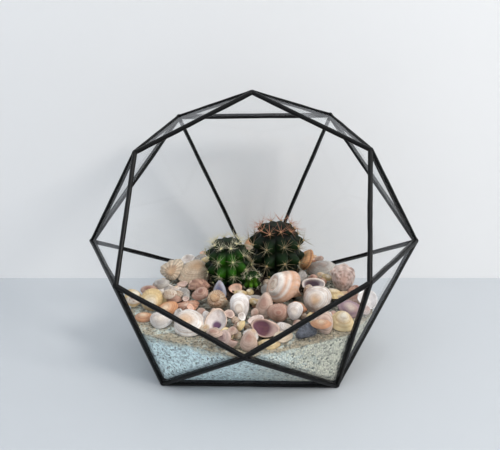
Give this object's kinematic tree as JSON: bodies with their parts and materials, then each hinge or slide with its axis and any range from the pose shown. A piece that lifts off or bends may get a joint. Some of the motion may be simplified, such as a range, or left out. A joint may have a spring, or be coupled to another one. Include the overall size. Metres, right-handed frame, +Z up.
{
  "type": "planted glass terrarium",
  "caption": "Faceted glass case with black soldered seams and a six-sided opening, filled with sand grit, small cacti and a layer of sea shells.",
  "frame": {"origin": "middle of the case's outline seen from above, at the level it stands on", "axes": "+Z up, the open mouth looks towards -Y and upwards, +X to the right of someone facing the mouth"},
  "size_m": [0.2524, 0.2041, 0.1944],
  "materials": {
    "black_patina_solder": "blackened solder, satin, slightly uneven",
    "clear_glass": "clear, polished, with a faint grey-green tint",
    "sand_grit": "pale grey grit of millimetre grains, matt",
    "potting_soil": "dark crumbly soil, matt",
    "cactus_dark_green": "dark green skin with a faint bloom",
    "cactus_mid_green": "green skin, fresher on one side",
    "cactus_young_green": "bright young green skin",
    "shell": "chalky to glossy shell in cream, tan, mauve, pink and coral",
    "slate": "split dark grey slate, matt"
  },
  "bodies": {
    "root": {"soldered_frame": "black_patina_solder", "pane_rim_upper_left": "clear_glass", "pane_rim_left": "clear_glass", "pane_rim_lower_left": "clear_glass", "pane_rim_lower_right": "clear_glass", "pane_rim_right": "clear_glass", "pane_rim_upper_right": "clear_glass", "pane_top": "clear_glass", "pane_shoulder_left": "clear_glass", "pane_flank_left": "clear_glass", "pane_front_foot": "clear_glass", "pane_flank_right": "clear_glass", "pane_shoulder_right": "clear_glass", "pane_back_left": "clear_glass", "pane_low_left": "clear_glass", "pane_base": "clear_glass", "pane_low_right": "clear_glass", "pane_back_right": "clear_glass", "pane_back_top": "clear_glass", "sand_bed": "sand_grit", "soil_plug": "potting_soil", "cactus_right": "cactus_dark_green", "cactus_left": "cactus_mid_green", "cactus_offset": "cactus_young_green", "cockle_yellow": "shell", "clam_cream_far_left": "shell", "cockle_cream_large": "shell", "scallop_tilted": "shell", "scallop_grey_back": "shell", "whelk_brown": "shell", "mussel_blue": "shell", "turban_striped": "shell", "scallop_coral": "shell", "clam_mauve": "shell", "clam_orange_left": "shell", "clam_white_front": "shell", "clam_purple_patch": "shell", "clam_white_upright": "shell", "moon_snail_front": "shell", "clam_cream_point": "shell", "clam_coral_edge": "shell", "clam_pale_left": "shell", "clam_grey_pink": "shell", "clam_mauve_dome": "shell", "moon_snail_large": "shell", "whelk_orange": "shell", "clam_purple_edge": "shell", "slate_chip": "slate", "clam_white_right": "shell", "clam_dark_inside": "shell", "cockle_grey_large": "shell", "clam_striped_orange": "shell", "oyster_rough": "shell", "clam_purple_right": "shell", "clam_yellow_border": "shell", "clam_pink_cream": "shell", "clam_white_ring": "shell", "small_shells_left": "shell", "small_shells_right": "shell", "small_shells_back": "shell"}
  },
  "joints": []
}
